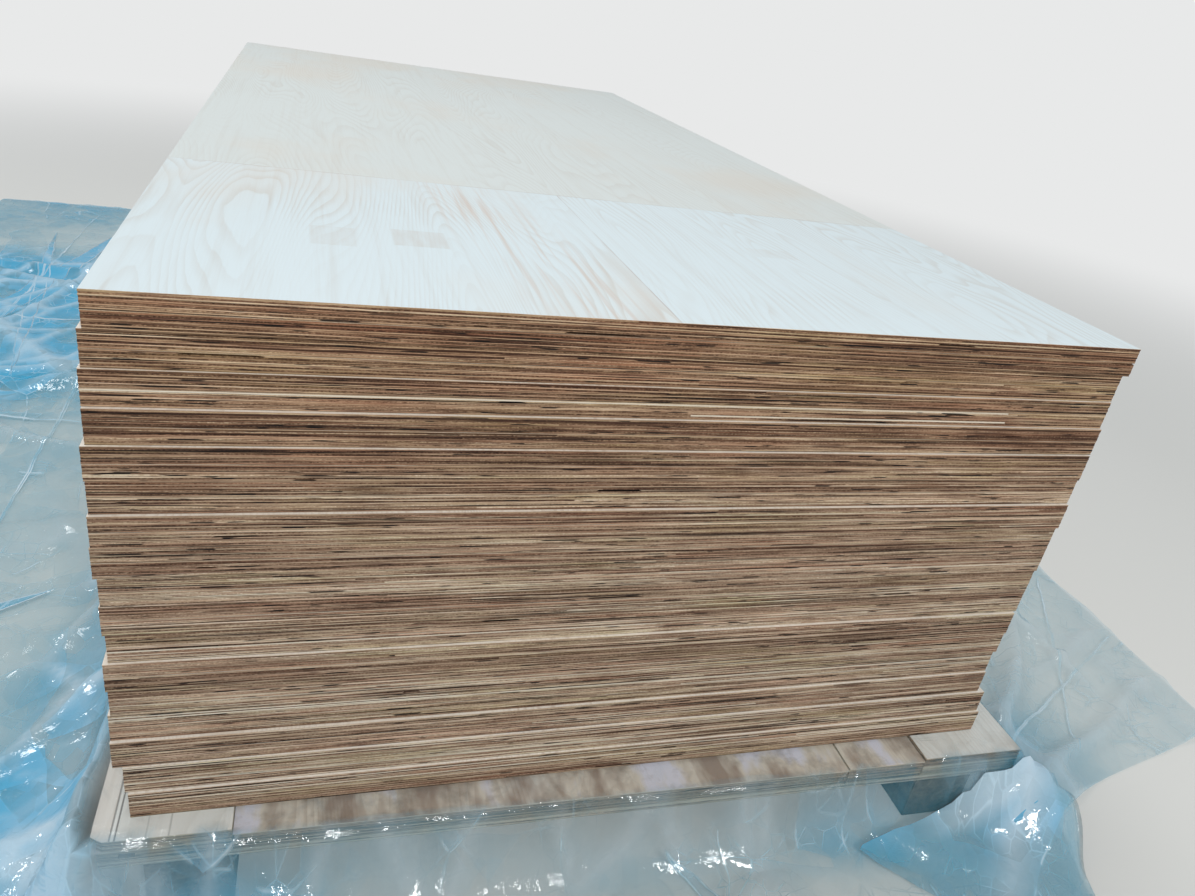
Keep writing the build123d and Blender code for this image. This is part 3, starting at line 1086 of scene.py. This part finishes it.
def support(x, y):
    """The height of the board or floor that carries the film at a point, and whether that is the deck."""
    low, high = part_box("deck_underlay")
    height = np.zeros(x.shape)
    on_deck = (x > low[0]) & (x < high[0]) & (y > low[1]) & (y < high[1])
    for node in ("side_panel_left", "deck_middle", "deck_filler", "side_panel_right"):
        left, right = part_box(node)
        height = np.where(on_deck & (x >= left[0] - 0.001) & (x <= right[0] + 0.001), right[2], height)
    return height, on_deck


def across_line(points, start, end):
    """How far along a line each point lies, from 0 to 1, how far to the right of it, and that direction."""
    start, end = np.array(start), np.array(end)
    length = np.hypot(*(end - start))
    ahead = (end - start) / length
    outward = np.array((ahead[1], -ahead[0]))
    return (points[:, :2] - start) @ ahead / length, (points[:, :2] - start) @ outward, outward


def hang_front(points):
    """Let the film fall more steeply from the deck's front edge, as its own weight draws it down."""
    x, y, z = points.T
    low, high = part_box("deck_underlay")
    beyond = np.maximum(0, low[1] - y)
    reach = front_fall_reach * (1 + 0.35 * soft_noise(x * 5.0, 0.0, 1.0, 63))
    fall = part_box("side_panel_left")[1][2] * np.exp(-(beyond / reach) ** 1.2)
    steep = np.where(z > fall, fall + 0.25 * (z - fall), z)
    points[:, 2] = np.where((beyond > 0) & (np.abs(x) < high[0] + 0.10), steep, z)


def crease_film(points, normals):
    """Press sharp creases and standing folds into the settled film; returns how creased each point is."""
    hang_front(points)
    x, y, z = points.T
    up_deck = unit(z / deck_height)
    points[:, 2] = z - cloth_gap_floor * (1 - up_deck) - cloth_gap_deck * up_deck
    bent_x = x + crease_bend * soft_noise(x * 2.4, y * 2.4, 0.3, 51)
    bent_y = y + crease_bend * soft_noise(x * 2.4, y * 2.4, 5.3, 52)
    on_deck = support(x, y)[1]
    calm = np.where(on_deck, deck_calm, 1.0)
    lift, creased = np.zeros(len(x)), np.zeros(len(x))
    for size, stretch, direction, height, width, seed in film_creases:
        turned_x = bent_x * math.cos(direction) + bent_y * math.sin(direction)
        turned_y = bent_y * math.cos(direction) - bent_x * math.sin(direction)
        from_middle, from_border = crumple(turned_x, turned_y * stretch, size, seed)
        ridge = unit(1 - from_border / width)
        strength = np.clip(0.50 + soft_noise(x * 1.7, y * 1.7, seed * 0.37, seed), 0.10, 1.0)
        lift += height * strength * (ridge ** 1.3 + 0.45 * from_middle)
        creased += strength * ridge ** 2
    for start, end, height, width in film_ridges:
        along, away, _ = across_line(points, start, end)
        bend = ridge_bend * soft_noise(along * 2.5, start[0] * 3 + start[1], 7.0, 57) * unit(3 * along)
        tapered = unit(4 * along) * unit(4 * (1 - along))
        rise = np.exp(-(((away - bend) / width) ** 2)) * tapered
        lift += np.where(on_deck, 0.0, height * rise)
        creased += 0.8 * rise
    points += normals * (calm * lift)[:, None]
    return unit(creased)


def fold_flap(points, flat):
    """Fold the film's front right corner back over itself.

    Returns how doubled and how hemmed each point is, and whether it lies on the fold.
    """
    tip = np.argmin(np.hypot(flat[:, 0] - slit_tip[0], flat[:, 1] - slit_tip[1]))
    from_slit = np.hypot(points[:, 0] - points[tip, 0], points[:, 1] - points[tip, 1])
    drawn = np.exp(-((from_slit / slit_reach) ** 2))[:, None] * (np.array(slit_place) - points[tip, :2])
    points[:, :2] += drawn
    fold_length = 0.4
    flat_front = flat[tip, :2] + fold_length * np.array(flat_fold_direction)
    front = points[tip, :2] + fold_length * np.array(fold_direction)
    share, away, _ = across_line(flat, flat_front, flat[tip, :2])
    away[np.abs(away) < fold_snap] = 0.0
    outward = across_line(points, front, points[tip, :2])[2]
    slit_y = slit_tip[1] + slit_back_slope * np.maximum(0, flat[:, 0] - slit_tip[0])
    before_slit = flat[:, 1] < slit_y - 0.012
    flap = (away > 0) & before_slit
    on_fold = (away == 0) & before_slit

    from_bulge = ((1 - share) * fold_length - fold_bulge_place) / fold_bulge_reach
    bulge = fold_bulge * np.exp(-(from_bulge ** 2) - np.abs(away) / fold_bulge_reach)
    laid = front + share[:, None] * (points[tip, :2] - front) + (bulge - np.abs(away))[:, None] * outward
    near_fold = unit(1 + away / fold_reach) * before_slit
    near_fold = (near_fold * near_fold * (3 - 2 * near_fold))[:, None]
    points[:, :2] = near_fold * laid + (1 - near_fold) * points[:, :2]

    rest = np.flatnonzero(~flap)
    tree = KDTree(len(rest))
    for number in rest:
        tree.insert((points[number, 0], points[number, 1], 0.0), number)
    tree.balance()
    corner = flat[flap][np.argmax(flat[flap, 0]), :2]
    along_edge, from_edge, _ = across_line(flat, flat[tip, :2], corner)
    along_edge = along_edge * np.hypot(*(corner - flat[tip, :2]))
    rolled = unit(1 - ((np.abs(from_edge) - hem_middle) / hem_half_width) ** 2) ** 0.5 * flap
    rolled *= unit((along_edge - hem_span[0]) / hem_fades[0])
    rolled *= unit((hem_span[1] - along_edge) / hem_fades[1])
    for number in np.flatnonzero(flap):
        below = points[tree.find((points[number, 0], points[number, 1], 0.0))[1], 2]
        lifted = flap_gap * min(1.0, away[number] / 0.02)
        points[number, 2] = below + lifted + hem_thickness * rolled[number]
    return flap.astype(float), rolled, on_fold


def split_along_fold(mesh, on_fold):
    """Split each square that the fold crosses from corner to corner, so that it folds cleanly."""
    shape = bmesh.new()
    shape.from_mesh(mesh)
    for face in shape.faces[:]:
        corners = face.verts[:]
        for start, end in ((0, 2), (1, 3)):
            if on_fold[corners[start].index] and on_fold[corners[end].index]:
                bmesh.utils.face_split(face, corners[start], corners[end])
                break
    shape.to_mesh(mesh)
    shape.free()


def lay_on_supports(points):
    """Push the film out of the boards and the floor, and down into the recesses between the side panels."""
    low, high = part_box("deck_underlay")
    deck_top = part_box("side_panel_right")[1][2]
    x, y, z = points.T
    out_x = np.minimum(x - low[0], high[0] - x) + film_clearance
    out_y = np.minimum(y - low[1], high[1] - y) + film_clearance
    sunk = (out_x > 0) & (out_y > 0) & (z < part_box("deck_middle")[1][2] - 0.001)
    nearer_x = out_x < out_y
    points[:, 0] += np.where(sunk & nearer_x, np.sign(x) * out_x, 0.0)
    points[:, 1] += np.where(sunk & ~nearer_x, np.sign(y) * out_y, 0.0)
    x, y, z = points.T
    height, on_deck = support(x, y)
    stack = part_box("sheet_34")
    under = inside_box(x, y, stack, 0.002)
    rest = height + film_clearance
    in_recess = on_deck & (height < deck_top - 0.001) & ~under
    z = np.where(in_recess, np.minimum(z, rest + 0.0015 + 0.3 * np.maximum(0, z - deck_top)), z)
    z = np.maximum(z, rest)
    points[:, 2] = np.where(under, np.minimum(z, stack[0][2] - film_clearance), z)


def blob(x, y, middle, reach):
    """A soft round patch, 1 in its middle and 0 well outside its reach."""
    return np.exp(-((x - middle[0]) ** 2 + (y - middle[1]) ** 2) / reach ** 2)


def film_tones(points, creased, doubled):
    """How milky, how blue and how closely laid the film is at each point."""
    x, y = points[:, 0], points[:, 1]
    low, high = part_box("deck_underlay")
    on_deck = support(x, y)[1]
    beyond_left = low[0] - x
    left = unit((beyond_left - 0.02) / 0.10)
    patchy = unit(0.55 + 0.8 * soft_noise(x * 3.0, y * 2.0, 4.0, 61))
    cyan_stretch = unit((y - 0.02) / 0.15) * unit((1.45 - y) / 0.25)
    # Painted sheen: the film on the slope down from the deck's left edge, seen edge-on, is painted bluer
    # and milkier
    skirt_sheen = np.exp(-(((beyond_left - 0.075) / 0.060) ** 2)) * unit((y - low[1] + 0.10) / 0.2)
    blue_left = 0.12 + 0.30 * patchy + cyan_stretch * (0.35 + 0.40 * patchy)
    blue = 0.07 + 0.10 * patchy + left * blue_left + 0.55 * skirt_sheen
    blue += 0.85 * blob(x, y, (low[0] - 0.19, low[1] - 0.02), 0.22) + 0.30 * doubled
    blue += 0.40 * blob(x, y, (high[0] + 0.06, low[1] + 0.06), 0.16)
    in_front = low[1] - y
    # Painted shade and highlight: the band of film just in front of the deck is painted bluer and denser,
    # in place of the shaded pocket under the deck and the blue glints along it
    pocket_shade_band = np.exp(-(((in_front - 0.045) / 0.035) ** 2)) * (np.abs(x) < high[0] + 0.04)
    blue += 0.75 * pocket_shade_band * unit(0.70 + 0.9 * soft_noise(x * 6.0, y * 9.0, 2.0, 65))
    # Milky along the creases: partly the film's own whitening, partly painted highlight
    milky = 0.55 * creased + 0.25 * skirt_sheen + 0.55 * doubled * patchy
    beyond = np.maximum(np.maximum(x - high[0], low[1] - y), y - high[1])
    laid = np.where(on_deck, 1.0, np.where(beyond_left < 0, unit(1 - beyond / 0.05) * 0.7, 0.0))
    laid = np.where(doubled > 0, 0.0, laid)
    blue, milky = np.where(on_deck, 0.04, blue), np.where(on_deck, 0.30 * creased, milky)
    return unit(np.column_stack((milky, blue, laid, np.ones(len(x)))))


def make_film():
    """The packing film: settled over the pallet and floor, creased, folded, milky where it is doubled."""
    blank, quads, rest_z = film_blank()
    settled = settle_film(blank, quads, rest_z)
    mesh = refine(settled, quads)
    flat = mesh_points(refine(blank, quads))
    points, normals = mesh_points(mesh), mesh_points(mesh, "normal")
    normals[normals[:, 2] < 0] *= -1
    creased = crease_film(points, normals)
    doubled, rolled, on_fold = fold_flap(points, flat)
    split_along_fold(mesh, on_fold)
    lay_on_supports(points)
    mesh.vertices.foreach_set("co", points.ravel())
    mesh.update()
    layout = mesh.uv_layers.new(name="film_flat")
    corners = np.zeros(len(mesh.loops), int)
    mesh.loops.foreach_get("vertex_index", corners)
    layout.data.foreach_set("uv", flat[corners, :2].ravel())
    colours = mesh.color_attributes.new("film_haze", "FLOAT_COLOR", "POINT")
    colours.data.foreach_set("color", film_tones(points, np.maximum(creased, rolled), doubled).ravel())
    mesh.name = "packing_film_sheet"
    for polygon in mesh.polygons:
        polygon.use_smooth = True
    mesh.materials.clear()
    mesh.materials.append(film_material())
    film = new_object("packing_film_sheet", mesh)
    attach(film, "root")
    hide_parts("packing_film")


make_sheets()
make_deck()
make_film()


# Stage, light and camera

backdrop_colour = rgb(232, 233, 233)
# Place, what it points at, size and power of each lamp
lamps = (
    ("overhead", (-0.5, 0.7, 4.2), (-0.1, -0.1, 0.4), 1.8, 56.0),
    ("side", (-3.6, 0.6, 2.4), (-0.8, -0.2, 0.1), 0.45, 16.0),
    ("front", (0.0, -4.0, 2.9), (0.1, -1.2, 0.3), 0.8, 55.0),
)


def make_floor():
    """A plain pale floor whose far end runs into the background."""
    material, t = new_material("studio_floor")
    x, y, _ = t.parts(t.place())
    path = t.add("ShaderNodeLightPath").outputs
    rays = (Wire(t, path[f"Is {ray} Ray"]) for ray in ("Camera", "Glossy", "Transmission"))
    camera, glossy, transmitted = rays
    seen = t.largest(camera, t.largest(glossy, transmitted))
    far = seen * t.span((x ** 2.0 + y ** 2.0) ** 0.5, 2.2, 6.0, smooth=True)
    matt = t.wire("ShaderNodeBsdfDiffuse", {"Color": rgb(226, 226, 222), "Roughness": 0.5})
    glow = t.wire("ShaderNodeEmission", {"Color": backdrop_colour, "Strength": 1.0})
    shader = t.wire("ShaderNodeMixShader", {0: far, 1: matt, 2: glow})
    t.add("ShaderNodeOutputMaterial", {"Surface": shader})
    reach, sunk = 30.0, 0.0004
    corners = [(x * reach, y * reach, -sunk) for x, y in ((-1, -1), (1, -1), (1, 1), (-1, 1))]
    mesh = bpy.data.meshes.new("studio_floor")
    mesh.from_pydata(corners, [], [(0, 1, 2, 3)])
    mesh.materials.append(material)
    floor = new_object("studio_floor", mesh)


def make_world():
    """Soft light from all round, and a pale background where the camera sees past the floor."""
    world = bpy.data.worlds.new("studio")
    world.use_nodes = True
    world.node_tree.nodes.clear()
    t = Tree(world.node_tree)
    from_camera = t.wire("ShaderNodeLightPath", output="Is Camera Ray")
    soft = t.wire("ShaderNodeBackground", {"Color": (0.92, 0.96, 1.0, 1.0), "Strength": 0.50})
    seen = t.wire("ShaderNodeBackground", {"Color": backdrop_colour, "Strength": 1.0})
    shader = t.wire("ShaderNodeMixShader", {0: from_camera, 1: soft, 2: seen})
    t.add("ShaderNodeOutputWorld", {"Surface": shader})
    bpy.context.scene.world = world


def make_lights():
    """Three soft lamps; the overhead one lights the top face, the others the front and the film."""
    for name, place, target, size, power in lamps:
        data = bpy.data.lights.new(name, "AREA")
        data.size = size
        data.energy = power
        lamp = new_object(name, data)
        lamp.location = place
        lamp.rotation_euler = (Vector(target) - Vector(place)).to_track_quat("-Z", "Y").to_euler()


def make_camera():
    """The camera, standing and turned as the photograph was taken."""
    data = bpy.data.cameras.new("camera")
    data.lens = camera_focal_length
    data.sensor_width = camera_sensor_width
    data.clip_end = 100
    camera = new_object("camera", data)
    turn = Matrix.Rotation(math.radians(-camera_yaw), 4, "Z")
    tilt = Matrix.Rotation(math.radians(90 + camera_pitch), 4, "X")
    roll = Matrix.Rotation(math.radians(-camera_roll), 4, "Z")
    camera.matrix_world = Matrix.Translation(camera_place) @ turn @ tilt @ roll
    bpy.context.scene.camera = camera


make_floor()
make_world()
make_lights()
make_camera()
bpy.context.scene.view_settings.view_transform = "Standard"
